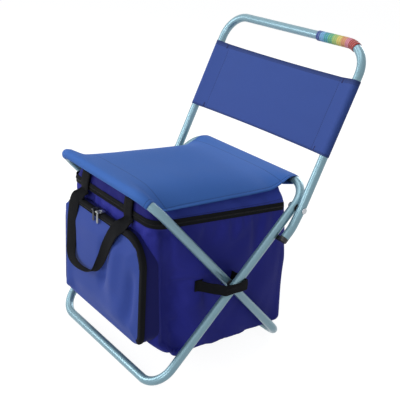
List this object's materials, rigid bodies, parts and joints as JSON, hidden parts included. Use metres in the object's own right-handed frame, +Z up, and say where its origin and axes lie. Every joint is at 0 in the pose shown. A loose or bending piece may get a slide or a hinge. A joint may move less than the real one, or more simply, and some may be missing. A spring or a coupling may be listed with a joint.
{
  "type": "folding cooler stool",
  "caption": "Folding stool of crossed tube loops with a hinged cloth backrest and a soft insulated bag with a front pocket under its cloth seat.",
  "frame": {"origin": "on the floor, at the middle of the footprint of the whole stool", "axes": "+Z up, +X across the stool to the right seen from the front, +Y to the back, so the bag's pocket faces -Y"},
  "size_m": [0.3992, 0.4556, 0.5785],
  "materials": {
    "painted_tube": "pale blue grey metallic enamel, satin",
    "zinc": "zinc plated",
    "black_nylon": "moulded, matt",
    "black_webbing": "woven webbing",
    "black_zip_tape": "woven tape with coil",
    "seat_cloth": "plain woven cloth",
    "backrest_cloth": "plain woven cloth",
    "bag_cloth": "coated woven cloth with a soft sheen",
    "lining": "pale wipe-clean sheet",
    "foam": "closed-cell foam",
    "board": "stiffening board",
    "grip_stripes": "striped wrap in many colours"
  },
  "bodies": {
    "rear_frame": {"backrest_rivet_left": "zinc", "backrest_rivet_right": "zinc", "backrest_washer_left": "black_nylon", "backrest_washer_right": "black_nylon", "bag_foam": "foam", "bag_liner": "lining", "bag_shell": "bag_cloth", "base_board": "board", "lid_foam": "foam", "lid_liner": "lining", "lid_shell": "bag_cloth", "lid_zip": "black_zip_tape", "pivot_rivet_left": "zinc", "pivot_rivet_right": "zinc", "pivot_strap_left": "black_webbing", "pivot_strap_right": "black_webbing", "pivot_washer_left": "black_nylon", "pivot_washer_right": "black_nylon", "pocket_binding_left": "black_zip_tape", "pocket_binding_right": "black_zip_tape", "pocket_shell": "bag_cloth", "pocket_zip": "black_zip_tape", "rear_loop_joiner": "zinc", "rear_seat_frame": "painted_tube", "seat_panel": "seat_cloth"},
    "front_frame": {"front_seat_frame": "painted_tube", "front_loop_joiner": "zinc"},
    "backrest": {"backrest_hoop": "painted_tube", "backrest_stop_left": "black_nylon", "backrest_stop_right": "black_nylon", "backrest_panel": "backrest_cloth", "grip_wrap": "grip_stripes"},
    "pocket_slider_left": {"pocket_slider_left": "zinc"},
    "pocket_slider_right": {"pocket_slider_right": "zinc"},
    "pocket_pull_left": {"pocket_pull_left": "zinc"},
    "pocket_pull_right": {"pocket_pull_right": "zinc"},
    "lid_slider": {"lid_slider": "zinc"},
    "lid_pull": {"lid_pull": "zinc"},
    "carry_handle": {"carry_handle": "black_webbing"}
  },
  "joints": [
    {"name": "fold", "type": "hinge", "parent": "rear_frame", "child": "front_frame", "pos_m": [0, -0.031, 0.1656], "axis": [-1, 0, 0], "range_deg": [0, 82], "deforming": ["seat_panel"]},
    {"name": "backrest_fold", "type": "hinge", "parent": "rear_frame", "child": "backrest", "pos_m": [0, 0.09453, 0.29179], "axis": [1, 0, 0], "range_deg": [0, 85]},
    {"name": "pocket_zip_left", "type": "slide", "parent": "rear_frame", "child": "pocket_slider_left", "axis": [-1, 0, 0], "range_m": [0, 0.03]},
    {"name": "pocket_zip_right", "type": "slide", "parent": "rear_frame", "child": "pocket_slider_right", "axis": [1, 0, 0], "range_m": [0, 0.028]},
    {"name": "pocket_pull_left_swing", "type": "hinge", "parent": "pocket_slider_left", "child": "pocket_pull_left", "pos_m": [-0.021, -0.20322, 0.27473], "axis": [-1, 0, 0], "range_deg": [0, 90]},
    {"name": "pocket_pull_right_swing", "type": "hinge", "parent": "pocket_slider_right", "child": "pocket_pull_right", "pos_m": [-0.007, -0.20322, 0.27473], "axis": [-1, 0, 0], "range_deg": [0, 90]},
    {"name": "lid_zip_run", "type": "slide", "parent": "rear_frame", "child": "lid_slider", "axis": [0, -0.9975, 0.0702], "range_m": [0, 0.15]},
    {"name": "lid_pull_swing", "type": "hinge", "parent": "lid_slider", "child": "lid_pull", "pos_m": [-0.1398, 0.03434, 0.27398], "axis": [0, 0.9975, -0.0702], "range_deg": [0, 90]},
    {"name": "handle_swing", "type": "hinge", "parent": "rear_frame", "child": "carry_handle", "pos_m": [0, -0.18597, 0.29027], "axis": [-1, 0, 0], "range_deg": [0, 60]}
  ]
}
